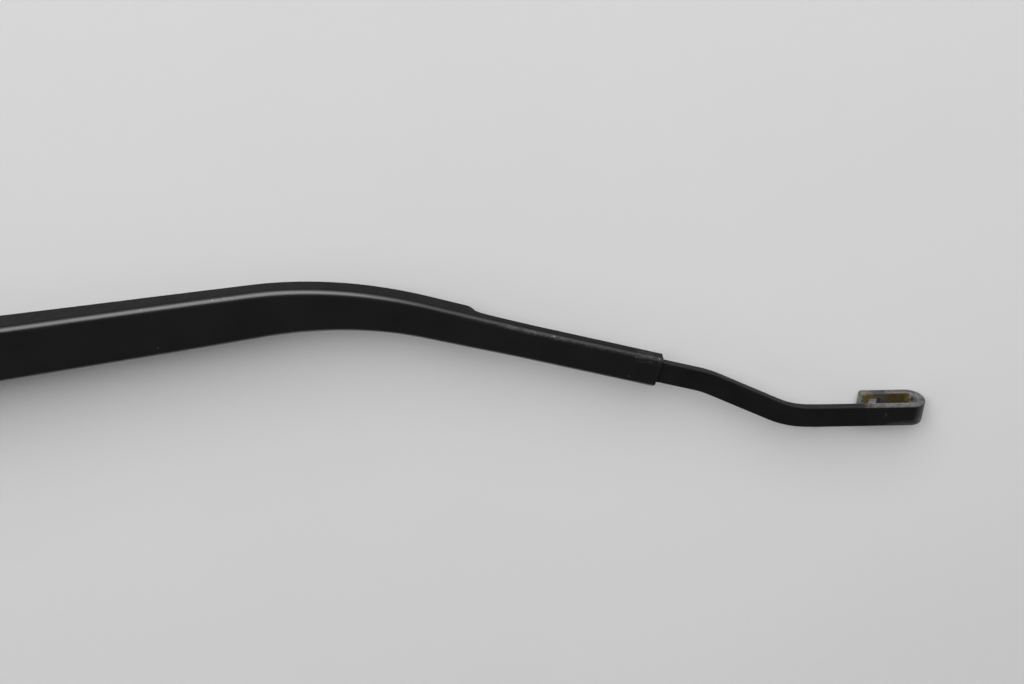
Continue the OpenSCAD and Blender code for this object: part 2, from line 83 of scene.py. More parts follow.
# Walks the rows: straight on along each run, then round a circle of the row's radius
def lineAt(rows, s):
    s = np.asarray(s, float)
    x, y, heading = s * 1.0, s * 0.0, s * 0.0
    px, py, ph, start = 0.0, 0.0, 0.0, 0.0
    for index, (run, turn, radius) in enumerate(rows):
        here = s >= start
        x = np.where(here, px + (s - start) * math.cos(ph), x)
        y = np.where(here, py + (s - start) * math.sin(ph), y)
        heading = np.where(here, ph, heading)
        px, py, start = px + run * math.cos(ph), py + run * math.sin(ph), start + run
        if index == len(rows) - 1:
            break
        r = math.copysign(radius, turn)
        t = (s - start) / r
        here = s >= start
        x = np.where(here, px + r * (np.sin(ph + t) - math.sin(ph)), x)
        y = np.where(here, py + r * (math.cos(ph) - np.cos(ph + t)), y)
        heading = np.where(here, ph + t, heading)
        end = ph + math.radians(turn)
        px, py = px + r * (math.sin(end) - math.sin(ph)), py + r * (math.cos(ph) - math.cos(end))
        ph, start = end, start + abs(math.radians(turn)) * radius
    return x, y, heading


# Turns points of the arm's flat frame down by the pitch about the hinge, into metres of the part's frame
def fromArm(x, y, z):
    a = math.radians(armFrame["pitch"])
    hx, hy, hz = armFrame["hinge"]
    return np.stack([hx + x * math.cos(a) + z * math.sin(a), hy + y + 0 * x,
                     hz - x * math.sin(a) + z * math.cos(a)], -1) * mm


def smoothStep(t):  # 0 below 0, 1 above 1 and a soft S between
    t = np.clip(t, 0, 1)
    return t * t * (3 - 2 * t)


def mixed(a, b, t):  # a at 0, b at 1 and a straight line between
    return a + (b - a) * t


# Puts points and faces into a mesh; faces are rows of four, and extra holds any with other counts
def makePiece(name, points, quads, extra=(), layers=None, sharp=40):
    mesh = bpy.data.meshes.new(name)
    quads = np.asarray(quads, np.int32).reshape(-1, 4)
    sizes = [4] * len(quads) + [len(f) for f in extra]
    loops = np.concatenate([quads.ravel()] + [np.asarray(f, np.int32) for f in extra])
    mesh.vertices.add(len(points))
    mesh.vertices.foreach_set("co", np.asarray(points, np.float32).ravel())
    mesh.loops.add(len(loops))
    mesh.loops.foreach_set("vertex_index", loops.astype(np.int32))
    mesh.polygons.add(len(sizes))
    mesh.polygons.foreach_set("loop_start", np.concatenate([[0], np.cumsum(sizes)[:-1]]).astype(np.int32))
    mesh.update(calc_edges=True)
    mesh.validate()
    for key, values in (layers or {}).items():
        layer = mesh.attributes.new(key, "FLOAT", "POINT")
        layer.data.foreach_set("value", np.asarray(values, np.float32).ravel())
    piece = bpy.data.objects.new(name, mesh)
    bpy.context.scene.collection.objects.link(piece)
    faceOut(mesh)
    smoothShade(mesh, sharp)
    return piece


# A closed skin's signed volume is the sum of its corner products; a negative one is turned round
def faceOut(mesh):
    mesh.calc_loop_triangles()
    co = np.empty(len(mesh.vertices) * 3, np.float32)
    mesh.vertices.foreach_get("co", co)
    tri = np.empty(len(mesh.loop_triangles) * 3, np.int32)
    mesh.loop_triangles.foreach_get("vertices", tri)
    a, b, c = (co.reshape(-1, 3)[tri.reshape(-1, 3)[:, k]] for k in range(3))
    if np.einsum("ij,ij->i", a, np.cross(b, c)).sum() < 0:
        mesh.flip_normals()


# Smooth shading all over, with a hard edge wherever two faces meet at more than the angle
def smoothShade(mesh, angle):
    mesh.polygons.foreach_set("use_smooth", np.ones(len(mesh.polygons), bool))
    mesh.set_sharp_from_angle(angle=math.radians(angle))
    mesh.update()


# Quads between rings of a grid: rings run along the first index, each ring closes on itself
def ringQuads(rings, count):
    i, j = np.meshgrid(np.arange(rings - 1), np.arange(count), indexing="ij")
    k = (j + 1) % count
    return np.stack([i * count + j, i * count + k, (i + 1) * count + k, (i + 1) * count + j], -1).reshape(-1, 4)


# Writes what the modifiers make into the mesh, so that nothing stays live
def applyModifiers(piece):
    graph = bpy.context.evaluated_depsgraph_get()
    made = bpy.data.meshes.new_from_object(piece.evaluated_get(graph))
    piece.modifiers.clear()
    piece.data = made


# Takes the form of another closed piece out of this one
def cutWith(piece, cutter):
    step = piece.modifiers.new("cut", "BOOLEAN")
    step.operation, step.solver, step.object = "DIFFERENCE", "EXACT", cutter
    applyModifiers(piece)
    bpy.data.objects.remove(cutter)
    return piece


# Turned form: a profile of (radius, height) carried round an axis; end points lie on the axis
def turned(name, profile, centre, axis, steps=96):
    p = np.array(profile, float)
    a = np.linspace(0, 2 * math.pi, steps, endpoint=False)
    inner = p[1:-1]
    w = Vector(axis).normalized()
    u = w.orthogonal().normalized()
    v = w.cross(u)
    u, v, w, c = (np.array(q) for q in (u, v, w, centre))
    ring = np.cos(a)[:, None] * u + np.sin(a)[:, None] * v
    body = c + inner[:, None, 0:1] * ring[None] + inner[:, None, 1:2] * w
    ends = np.stack([c + p[0, 1] * w, c + p[-1, 1] * w])
    points = np.concatenate([body.reshape(-1, 3), ends]) * mm
    n, m = len(inner), len(inner) * steps
    j = np.arange(steps)
    k = (j + 1) % steps
    caps = [list(t) for t in np.stack([np.full(steps, m), k, j], -1)]
    caps += [list(t) for t in np.stack([np.full(steps, m + 1), (n - 1) * steps + j, (n - 1) * steps + k], -1)]
    return makePiece(name, points, ringQuads(n, steps), caps)


# Rounds each inner corner of a profile: a quadratic curve from one side of the corner to the other
def softened(profile, radius, steps=4):
    out = [profile[0]]
    for before, at, after in zip(profile, profile[1:], profile[2:]):
        p, q, r = Vector(before), Vector(at), Vector(after)
        a, b = (p - q), (r - q)
        cut = min(radius, a.length * 0.45, b.length * 0.45)
        p1, p2 = q + a.normalized() * cut, q + b.normalized() * cut
        for t in np.linspace(0, 1, steps):
            out.append(tuple(p1 * (1 - t) ** 2 + q * 2 * t * (1 - t) + p2 * t ** 2))
    out.append(profile[-1])
    return out


# The camera stands where the photograph was taken from, above the arm's outer half
cameraSetup = {"at": (427.6, 233.3, 457.3), "right": (0.98788, -0.15523, 0), "up": (0.13375, 0.85119, -0.5075),
               "back": (0.07878, 0.50139, 0.8616), "lens": 49.22, "sensor": 36}
camera = bpy.data.objects.new("camera", bpy.data.cameras.new("camera"))
bpy.context.scene.collection.objects.link(camera)
camera.data.lens, camera.data.sensor_width = cameraSetup["lens"], cameraSetup["sensor"]
camera.data.clip_start, camera.data.clip_end = 0.01, 50
camera.matrix_world = Matrix.Translation(Vector(cameraSetup["at"]) * mm) @ Matrix(
    [cameraSetup[key] for key in ("right", "up", "back")]).transposed().to_4x4()
bpy.context.scene.camera = camera
print("camera set")


# Small helpers for materials: a material, its shader, and nodes joined by name
class Paint:
    def __init__(self, name, **sockets):
        self.material = bpy.data.materials.new(name)
        self.material.use_nodes = True
        self.nodes, self.links = self.material.node_tree.nodes, self.material.node_tree.links
        self.shader = self.nodes["Principled BSDF"]
        for key, value in sockets.items():
            self.shader.inputs[key.replace("_", " ")].default_value = value
        self.place = self.add("ShaderNodeTexCoord").outputs["Object"]

    def add(self, kind, **settings):
        node = self.nodes.new(kind)
        for key, value in settings.items():
            setattr(node, key, value)
        return node

    def put(self, value, socket):  # a value is a link from another node or a constant
        if isinstance(value, bpy.types.NodeSocket):
            self.links.new(value, socket)
        else:
            socket.default_value = value

    def noise(self, scale, detail=3, rough=0.5, stretch=(1, 1, 1), seed=0.0):  # soft noise over the piece's own place
        node = self.add("ShaderNodeTexNoise")
        node.inputs["Scale"].default_value = scale
        node.inputs["Detail"].default_value = detail
        node.inputs["Roughness"].default_value = rough
        mapping = self.add("ShaderNodeMapping")
        mapping.inputs["Location"].default_value = (seed, seed * 0.7, seed * 1.3)
        mapping.inputs["Scale"].default_value = stretch
        self.links.new(self.place, mapping.inputs["Vector"])
        self.links.new(mapping.outputs["Vector"], node.inputs["Vector"])
        return node.outputs["Fac"]

    def layer(self, name):  # a value kept in the piece's mesh
        return self.add("ShaderNodeAttribute", attribute_name=name).outputs["Fac"]

    def math(self, kind, a, b=0.0, c=0.0):
        node = self.add("ShaderNodeMath", operation=kind)
        for value, socket in zip((a, b, c), node.inputs):
            self.put(value, socket)
        return node.outputs["Value"]

    def band(self, value, low, high, toLow=0.0, toHigh=1.0):  # soft step from low to high
        node = self.add("ShaderNodeMapRange", interpolation_type="SMOOTHSTEP")
        for key, v in zip(("Value", "From Min", "From Max", "To Min", "To Max"), (value, low, high, toLow, toHigh)):
            self.put(v, node.inputs[key])
        return node.outputs["Result"]

    def mix(self, share, a, b):  # colour a where the share is 0, colour b where it is 1
        node = self.add("ShaderNodeMix", data_type="RGBA")
        for key, v in (("Factor", share), ("A", a), ("B", b)):
            socket = next(q for q in node.inputs if q.name == key and q.enabled)
            self.put(v, socket)
        return next(q for q in node.outputs if q.enabled)

    def bump(self, height, strength, distance):  # leans the shading by the height's slope
        node = self.add("ShaderNodeBump")
        node.inputs["Strength"].default_value = strength
        node.inputs["Distance"].default_value = distance
        self.put(height, node.inputs["Height"])
        self.links.new(node.outputs["Normal"], self.shader.inputs["Normal"])

    def to(self, key, value):  # a value into one of the shader's sockets
        self.put(value, self.shader.inputs[key])


def grey(value, warm=0.0):  # a neutral colour, a little warmer or cooler
    return (value * (1 + warm), value, value * (1 - warm), 1)


def scaled(colour, share):  # a colour made darker or lighter
    return tuple(q * share for q in colour[:3]) + (1,)


def window(paint, value, low, high, soft):  # 1 between low and high, with soft ends
    return paint.math("MULTIPLY", paint.band(value, low - soft, low), paint.band(value, high + soft, high))


# 1 inside a small round mark at a place (along, across) in metres on the surface, 0 outside it
def spot(paint, along, across, at, radius):
    du, dv = paint.math("SUBTRACT", along, at[0]), paint.math("SUBTRACT", across, at[1])
    far = paint.math("SQRT", paint.math("ADD", paint.math("MULTIPLY", du, du), paint.math("MULTIPLY", dv, dv)))
    return paint.band(far, radius, radius * 0.45)


# Satin black paint: faint orange peel, duller flanges, grey wear along the sleeve's edge and near its end, and
# a few chips; the grey band along the edge is partly a painted highlight. Places are metres along the channel
# and across it; a chip is a place and a radius
channelPaint = {"base": 0.004, "rough": 0.33, "sideRough": 0.62, "wornRough": 0.12, "gloss": 0.16, "peel": 900,
                "wearAndSheenGrey": 0.052, "chipGrey": 0.16, "wearAndSheenAt": 0.9, "wearAndSheenWide": 0.95, "sleeve": (0.331, 0.388),
                "worn": (0.343, 0.357), "rub": (0.3905, 0.3975), "rubAcross": (0.0026, 0.0042),
                "chips": [((0.3569, 0.0058), 0.00042), ((0.3889, -0.0036), 0.00028), ((0.389, 0.005), 0.0003),
                          ((0.398, 0.006), 0.00022), ((0.2091, -0.0063), 0.0003), ((0.2073, 0.0098), 0.00022),
                          ((0.2337, 0.0093), 0.00025), ((0.2379, 0.0093), 0.00022)]}


def blackPaint():
    c = channelPaint
    p = Paint("satinBlackPaint", Metallic=0.0, Specular_IOR_Level=c["gloss"], Coat_Roughness=c["rough"])
    side, edge, along, across = (p.layer(key) for key in ("side", "edge", "along", "across"))
    p.to("Coat Weight", p.math("SUBTRACT", 1.0, side))  # polished by handling, but not down the flanges
    fine, broad = p.noise(2600, 4, 0.6), p.noise(60, 3)
    streak = p.noise(1300, 4, 0.6, stretch=(0.45, 1, 1), seed=3)
    sleeve, worn = window(p, along, *c["sleeve"], 0.012), window(p, along, *c["worn"], 0.009)
    # wearAndSheen: worn paint round the rounded edge, partly a painted highlight, strongest in the worn window; rubs
    # near the sleeve's end are wear
    wearAndSheen = p.math("MULTIPLY", p.band(edge, 0.15, 0.9), p.band(streak, 0.36, 0.66))
    wearAndSheen = p.math("MULTIPLY", wearAndSheen, p.math("MULTIPLY_ADD", worn, 0.65, p.math("MULTIPLY", sleeve, 0.35)))
    rub = p.math("MULTIPLY", window(p, along, *c["rub"], 0.0025), p.band(across, *c["rubAcross"]))
    wearAndSheen = p.math("MAXIMUM", wearAndSheen, p.math("MULTIPLY", rub, p.band(streak, 0.44, 0.62, 0.0, 0.6)))
    chips = p.math("MULTIPLY", p.band(p.noise(700, 2, seed=9), 0.745, 0.77), p.band(edge, 0.2, 0.9))
    chips = p.math("MULTIPLY", chips, p.math("MULTIPLY_ADD", sleeve, 0.75, 0.25))
    for at, radius in c["chips"]:
        chips = p.math("MAXIMUM", chips, spot(p, along, across, at, radius))
    tone = p.mix(p.band(broad, 0.3, 0.7), grey(c["base"]), grey(c["base"] * 1.5, 0.03))
    # the worn edge turns grey here: partly worn paint, partly a painted highlight along the edge
    tone = p.mix(wearAndSheen, tone, grey(c["wearAndSheenGrey"], -0.03))
    p.to("Base Color", p.mix(chips, tone, grey(c["chipGrey"], 0.02)))
    rough = p.band(p.noise(240, 4, 0.6, seed=5), 0.3, 0.7, c["rough"] - 0.03, c["rough"] + 0.05)
    rough = p.math("MULTIPLY_ADD", side, c["sideRough"] - c["rough"], rough)
    p.to("Roughness", p.math("MULTIPLY_ADD", wearAndSheen, c["wornRough"], rough))
    peel = p.math("ADD", p.noise(c["peel"], 2, 0.4, seed=1), p.math("MULTIPLY", fine, 0.3))
    p.bump(p.math("MULTIPLY_ADD", chips, -1.5, peel), 0.12, 0.00005)
    return p.material


# Bar paint: black and dull at the sides, bare mottled steel round the hook's cut sides, its window and its end,
# olive and rust-brown on the hook's inner face, scuffs on the outer face near the bend. Places are metres along
# the bar; across and depth run from -1 to 1 over its width and its thickness
barPaint = {"base": 0.004, "side": 0.004, "gloss": 0.35, "rough": 0.37, "sideRough": 0.6, "scuff": 0.055,
            "bare": 0.10, "dull": 0.034, "darkPatch": 0.035, "darkBand": 0.024, "darkSpot": 0.02, "palePatch": 0.07,
            "olive": (0.046, 0.031, 0.006, 1), "oliveWorn": (0.095, 0.076, 0.02, 1),
            "rust": (0.088, 0.054, 0.013, 1), "rustRim": (0.13, 0.095, 0.066, 1),
            "bareFrom": 0.4866, "bendFrom": 0.5042, "innerFrom": 0.5172, "wornFrom": 0.5180, "wornTo": 0.5204,
            "wallFrom": 0.520, "dullFrom": 0.5263, "rustFrom": 0.5284, "rustTo": 0.5359, "endFrom": 0.5371,
            "nearRimTo": 0.5322, "darkBandAt": (0.5274, 0.5326), "darkSpotAt": (0.5153, 0.0022), "darkSpotR": 0.0014,
            "scuffAt": (0.4960, 0.5085), "scuffLean": 36, "leanFrom": 0.495,
            "scratchAt": (0.4934, 0.4936), "scratchAcross": (0.02, 0.36)}


def stripPaint():
    c = barPaint
    p = Paint("barPaint", Metallic=0.0, Specular_IOR_Level=c["gloss"])
    along, across, depth = (p.layer(key) for key in ("along", "across", "depth"))
    offMiddle, offCore = p.math("ABSOLUTE", across), p.math("ABSOLUTE", depth)
    mottle, patch, stain = p.noise(950, 4, 0.65, seed=2), p.noise(330, 3, 0.6, seed=4), p.noise(520, 3, 0.6, seed=8)
    # distance along with ragged borders, so that no zone ends in a straight line
    moved = p.math("MULTIPLY_ADD", p.math("SUBTRACT", p.noise(420, 4, 0.6), 0.5), 0.008, along)
    sides, outer = p.band(offMiddle, 0.86, 0.97), p.band(depth, 0.86, 0.96)
    inner = p.math("MULTIPLY", p.band(depth, -0.72, -0.90), p.band(moved, c["bendFrom"] - 0.001, c["bendFrom"]))
    hook = p.band(moved, c["bareFrom"] - 0.0015, c["bareFrom"] + 0.0015)
    # bare steel: mottled, with painted shading that makes it lighter towards the hook's inside and darker outside, with
    # stains and dark patches
    bare = p.mix(p.band(mottle, 0.38, 0.62), grey(c["bare"] * 0.45, -0.02), grey(c["bare"] * 1.35, 0.02))
    bare = p.mix(p.band(depth, -0.1, -0.8, 0.0, 0.45), bare, grey(c["bare"] * 1.9, 0.03))
    bare = p.mix(p.band(depth, 0.2, 0.9, 0.0, 0.45), bare, grey(c["bare"] * 0.45, -0.04))
    bare = p.mix(p.math("MULTIPLY", p.band(stain, 0.55, 0.68), 0.6), bare, c["rustRim"])
    bare = p.mix(p.math("MULTIPLY", p.band(patch, 0.50, 0.66), 0.75), bare, grey(c["darkPatch"]))
    bare = p.mix(p.math("MULTIPLY", window(p, moved, *c["darkBandAt"], 0.001), 0.75), bare, grey(c["darkBand"]))
    # the hook's inner face: olive after the bend, then dull grey, then rust-brown towards the free end
    face = p.mix(p.band(mottle, 0.3, 0.7), scaled(c["olive"], 0.6), scaled(c["olive"], 1.25))
    worn = p.math("MULTIPLY", p.band(moved, c["wornTo"], c["wornFrom"]), p.band(stain, 0.35, 0.6))
    face = p.mix(worn, face, c["oliveWorn"])
    face = p.mix(p.band(moved, c["rustFrom"] - 0.0016, c["rustFrom"]), face, c["rust"])
    nearRim = p.math("MULTIPLY", window(p, moved, c["rustFrom"], c["nearRimTo"], 0.0008), p.band(across, 0.58, 0.78))
    dull = p.math("MAXIMUM", window(p, moved, c["dullFrom"], c["rustFrom"], 0.0012), nearRim)
    face = p.mix(dull, face, grey(c["dull"], 0.03))
    face = p.mix(p.math("MULTIPLY", p.band(patch, 0.60, 0.70), 0.7), face, grey(c["palePatch"], 0.05))
    face = p.mix(p.band(moved, c["rustTo"], c["rustTo"] + 0.0005), face, bare)
    face = p.mix(p.band(moved, c["innerFrom"], c["innerFrom"] - 0.0012), face, bare)
    acrossMetres = p.math("MULTIPLY", across, 0.0045)
    face = p.mix(spot(p, along, acrossMetres, c["darkSpotAt"], c["darkSpotR"]), face, grey(c["darkSpot"]))
    # black paint, with scuffs that climb towards the bend and one short scratch
    tone = p.mix(p.band(p.noise(70, 3), 0.3, 0.7), grey(c["base"]), grey(c["base"] * 1.6))
    tone = p.mix(sides, tone, grey(c["side"], -0.04))
    lean = p.math("MULTIPLY_ADD", p.math("SUBTRACT", along, c["leanFrom"]), -c["scuffLean"], across)
    scuff = p.math("MULTIPLY", p.math("MULTIPLY", outer, p.band(lean, -0.60, -1.0)),
                   window(p, along, *c["scuffAt"], 0.007))
    scuff = p.math("MULTIPLY", scuff, p.band(p.noise(900, 4, 0.6, stretch=(0.5, 1, 1), seed=6), 0.40, 0.60))
    scratch = p.math("MULTIPLY", window(p, along, *c["scratchAt"], 0.00012),
                     window(p, across, *c["scratchAcross"], 0.06))
    tone = p.mix(p.math("MAXIMUM", scuff, p.math("MULTIPLY", scratch, outer)), tone, grey(c["scuff"], 0.02))
    tone = p.mix(p.math("MULTIPLY", hook, sides), tone, bare)
    tone = p.mix(inner, tone, face)
    wall = p.math("MULTIPLY", p.band(offCore, 0.92, 0.8), p.band(offMiddle, 0.8, 0.7))  # inside the hook's window
    tone = p.mix(p.math("MULTIPLY", wall, p.band(along, c["wallFrom"], c["wallFrom"] + 0.001)), tone,
                 grey(c["bare"] * 0.8, 0.08))
    p.to("Base Color", p.mix(p.band(along, c["endFrom"], c["endFrom"] + 0.0003), tone, bare))
    rough = p.band(mottle, 0.3, 0.7, c["rough"] - 0.03, c["rough"] + 0.06)
    p.to("Roughness", p.math("MULTIPLY_ADD", p.math("MAXIMUM", sides, inner), c["sideRough"] - c["rough"], rough))
    p.bump(p.math("ADD", p.noise(900, 2, 0.4), p.math("MULTIPLY", p.noise(2600, 4, 0.6), 0.5)), 0.18, 0.00006)
    return p.material


# Metal and plastic finishes: the tone varies in broad patches, over a fine grain
def plainFinish(name, tone, rough, grain, metallic=1.0, depth=0.1):
    p = Paint(name, Metallic=metallic)
    broad, fine = p.noise(140, 4, 0.6), p.noise(grain, 4, 0.6, seed=2)
    p.to("Base Color", p.mix(p.band(broad, 0.3, 0.7), scaled(tone, 0.72), tone))
    blend = p.math("MULTIPLY_ADD", fine, 0.5, p.math("MULTIPLY", broad, 0.5))
    p.to("Roughness", p.band(blend, 0.3, 0.7, rough - 0.08, rough + 0.10))
    p.bump(fine, depth, 0.00005)
    return p.material


paintChannel, paintBar = blackPaint(), stripPaint()
castBlack = plainFinish("castBlack", grey(0.018), 0.52, 1100, metallic=0.0, depth=0.45)
zincPlate = plainFinish("zincPlate", (0.46, 0.45, 0.41, 1), 0.36, 1500)
springSteel = plainFinish("springSteel", (0.16, 0.155, 0.15, 1), 0.34, 1500)
bushBronze = plainFinish("bushBronze", (0.50, 0.34, 0.17, 1), 0.42, 2500)
capPlastic = plainFinish("capPlastic", grey(0.016), 0.45, 3000, metallic=0.0, depth=0.35)
print("materials made")


# Gives a piece its material, tells the frame its body, and hides the CAD node it stands for
def dress(piece, material, body, node):
    piece.data.materials.clear()
    piece.data.materials.append(material)
    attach(piece, body)
    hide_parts(node)
    return piece


# Channel: width and depth of the flanges at stations along the centre line, edge and fold sizes
bowAt, bowEnd = rowStart(planLine, 0) + planLine[0][0], rowStart(planLine, 1)
channel = {"rootW": 28, "midAt": 150, "midW": 22.8, "bowW": 19.5, "neckW": 14.9, "neckBack": 7, "sleeveW": 13.1,
           "flare": 0.4, "mouthLen": 13, "rootDepth": 18.5, "midDepth": 11.2, "bowDepth": 7.7, "neckDepth": 7.6,
           "edgeR": 2.6, "sleeveEdge": 0.75, "crimpAt": 12.8, "foldLen": 12, "foldR": 0.6, "sleeveLen": 64.9,
           "clip": 1.4, "ease": 0.4, "seam": 0.8, "barT": 3, "earCut": 2, "earHalf": 11.9, "rim": 0.25,
           "rootBlend": 22, "endBlend": 8}
# Points over each part of the section, and the rings along it: their number or their distance in millimetres
channelSteps = {"face": 7, "edge": 17, "flange": 7, "fold": 11, "lip": 8, "rim": 4, "root": 36, "long": 1.15,
                "short": 0.5, "shortBefore": 6, "shortAfter": 4, "sleeve": 54}
foldAt = bowEnd + channel["crimpAt"]
sleeveAt = foldAt + channel["foldLen"]
sleeveEnd = sleeveAt + channel["sleeveLen"]
stations = np.array([
    (0, channel["rootW"], channel["rootDepth"]), (channel["midAt"], channel["midW"], channel["midDepth"]),
    (bowAt, channel["bowW"], channel["bowDepth"]),
    (bowEnd - channel["neckBack"], channel["neckW"], channel["neckDepth"]),
    (sleeveAt, channel["sleeveW"] + channel["flare"], channel["neckDepth"]),
    (sleeveAt + channel["mouthLen"], channel["sleeveW"], channel["neckDepth"])])


# Cubic through the stations, with each slope taken from the two neighbours
def throughStations(s, column):
    at, value = stations[:, 0], stations[:, column]
    before, after = np.maximum(np.arange(len(at)) - 1, 0), np.minimum(np.arange(len(at)) + 1, len(at) - 1)
    slope = (value[after] - value[before]) / (at[after] - at[before])
    i = np.clip(np.searchsorted(at, s, side="right") - 1, 0, len(at) - 2)
    d = at[i + 1] - at[i]
    k = np.clip((s - at[i]) / d, 0, 1)
    made = (value[i] * (1 + 2 * k) * (1 - k) ** 2 + value[i + 1] * k * k * (3 - 2 * k)
            + slope[i] * d * k * (1 - k) ** 2 - slope[i + 1] * d * k * k * (1 - k))
    return np.where(s < at[0], value[0] + slope[0] * (s - at[0]), made)


# Skin of the pressed channel: the mid-sheet line goes face, rounded edge, flange, fold and lip;
# outer and inner surfaces lie half the sheet to either side, and the lip's end is rounded
def makeRetainer():
    c, n, sheet, face = channel, channelSteps, armFrame["sheet"], armFrame["face"]
    parts = [("face", np.linspace(0, 1, n["face"])[:-1]), ("edge", np.linspace(0, 1, n["edge"]))]
    parts += [(key, np.linspace(0, 1, n[key])[1:]) for key in ("flange", "fold", "lip")]
    kind = np.concatenate([[key] * len(v) for key, v in parts])
    t = np.concatenate([v for _, v in parts])
    out, push = np.full(len(t), sheet / 2), np.zeros(len(t))
    turn = np.linspace(0, math.pi / 2, n["rim"])[1:]
    kind = np.concatenate([kind, ["lip"] * len(turn)])
    t = np.concatenate([t, np.ones(len(turn))])
    out = np.concatenate([out, sheet / 2 - c["rim"] + c["rim"] * np.cos(turn)])
    push = np.concatenate([push, c["rim"] * np.sin(turn)])
    # one flank outside then inside, then its mirror image without the middle column
    count = len(t)
    order = np.concatenate([np.arange(count), np.arange(count)[::-1], np.arange(1, count), np.arange(1, count)[::-1]])
    inside = np.concatenate([np.ones(count), -np.ones(count), -np.ones(count - 1), np.ones(count - 1)])
    mirror = np.concatenate([np.ones(2 * count), -np.ones(2 * count - 2)])
    kind, t, out, push = kind[order], t[order], out[order] * inside, push[order]

    # half the width at s, and the edge's outer radius, which goes from the root's to the sleeve's
    def halfAndRadius(s):
        share = smoothStep((s - bowAt) / (sleeveAt - bowAt))
        return throughStations(s, 1) / 2, mixed(c["edgeR"], sheet + c["sleeveEdge"], share)

    # across and down for each point of the section at s: the mid-sheet place plus the way out of the sheet
    def skin(s):
        h, r = halfAndRadius(s)
        share = smoothStep((s - foldAt) / c["foldLen"])
        flat = c["barT"] - c["sleeveEdge"] - c["foldR"]
        arc = (c["foldR"] + sheet / 2) * math.pi / 2
        closedLip = c["sleeveW"] / 2 - sheet - c["foldR"] - c["seam"] / 2
        lip = mixed(throughStations(s, 2) - r - flat - arc, closedLip, share)
        bend = np.maximum(share * math.pi / 2, math.radians(0.5))
        foldR, wall, foldDown, midR = arc / bend, h - sheet / 2, r + flat, r - sheet / 2
        lipLen = lip - c["rim"]
        b = np.select([kind == "edge", kind == "fold", kind == "lip"], [t * math.pi / 2, t * bend, bend + 0 * t], 0)
        places = [kind == "face", kind == "edge", kind == "flange", kind == "fold"]
        across = np.select(places, [t * (h - r), h - r + midR * np.sin(b), wall, wall - foldR * (1 - np.cos(b))],
                           wall - foldR * (1 - np.cos(bend)) - (lipLen * t + push) * np.sin(bend))
        down = np.select(places, [sheet / 2 + 0 * h, r - midR * np.cos(b), r + t * flat, foldDown + foldR * np.sin(b)],
                         foldDown + foldR * np.sin(bend) + (lipLen * t + push) * np.cos(bend))
        normalAcross = np.select(places[:3], [0 * h, np.sin(b), 1 + 0 * h], np.cos(b))
        normalDown = np.select(places[:3], [-1 + 0 * h, -np.cos(b), 0 * h], np.sin(b))
        return (across + out * normalAcross) * mirror, down + out * normalDown

    # where the sheet starts: round ears on the flanges, a straight cut between them
    across0, down0 = skin(np.zeros((1, len(t))))
    earR = c["rootDepth"] / 2
    start = -np.sqrt(np.maximum(earR ** 2 - (down0 - earR) ** 2, 0))
    start = np.where(np.abs(across0) < c["earHalf"], c["earCut"], start)
    # where it ends: square, with one corner clipped at 45 degrees and the other one eased
    acrossEnd, _ = skin(np.full((1, len(t)), sleeveEnd))
    half = c["sleeveW"] / 2
    end = sleeveEnd - np.maximum(c["clip"] - half - acrossEnd, 0) - np.maximum(c["ease"] - half + acrossEnd, 0)
    shortFrom, shortTo = foldAt - n["shortBefore"], sleeveAt + n["shortAfter"]
    rows = np.concatenate([np.linspace(0, 1, n["root"])[:-1] * c["rootBlend"],
                           np.arange(c["rootBlend"], shortFrom, n["long"]), np.arange(shortFrom, shortTo, n["short"]),
                           np.linspace(shortTo, sleeveEnd, n["sleeve"])])[:, None]
    s = np.where(rows < c["rootBlend"], start + (c["rootBlend"] - start) * rows / c["rootBlend"], rows)
    blend = np.maximum(rows - sleeveEnd + c["endBlend"], 0) / c["endBlend"]
    s = s + (end - sleeveEnd) * blend
    across, down = skin(s)
    x, y, heading = lineAt(planLine, s)
    points = fromArm(x - np.sin(heading) * across, y + np.cos(heading) * across, face - down)
    rings, ring = s.shape
    caps = []
    for base in (0, (rings - 1) * ring):
        k = np.arange(count - 1)
        right = np.stack([k, k + 1, 2 * count - 2 - k, 2 * count - 1 - k], -1)
        k = np.arange(count - 2)
        left = np.stack([2 * count + k, 2 * count + k + 1, ring - 2 - k, ring - 1 - k], -1)
        middle = np.array([[ring - 1, 0, 2 * count - 1, 2 * count]])
        cap = np.concatenate([right, left, middle]) + base
        caps.append(cap[:, ::-1] if base == 0 else cap)
    # wear, partly a painted highlight, lies round the upper part of the rounded edge: a bell curve of the way from the
    # edge's start
    h, r = halfAndRadius(s)
    way = np.select([kind == "face", kind == "edge"], [(t - 1) * (h - r), t * r * math.pi / 2], 9 + 0 * s)
    edge = np.exp(-((way - channelPaint["wearAndSheenAt"]) / channelPaint["wearAndSheenWide"]) ** 2) * ((out > 0) & (mirror > 0))
    side = np.where(kind == "face", 0, np.where(kind == "edge", smoothStep((t - 0.5) / 0.3), 1)) + 0 * s
    return makePiece("channelSkin", points.reshape(-1, 3), np.concatenate([ringQuads(rings, ring)] + caps),
                     layers={"edge": edge, "side": side, "along": s * mm, "across": across * mm}, sharp=32)


retainer = dress(makeRetainer(), paintChannel, "arm", "retainer")
print("channel made", len(retainer.data.polygons))

# Bar: flat steel with rounded edges; the hook's side line starts after the second turn
bar = {"w": 8.9, "t": 3, "edge": 0.45, "tail": 18, "dipAt": 3, "dip": 3.5, "dipR": 30, "gap": 6.5, "hookLen": 24.7,
       "tip": 48.2, "corner": 1, "thinEnd": 0.9, "windowLen": 4.5, "windowW": 4.6, "windowEnd": 3.7,
       "windowCorner": 0.8}
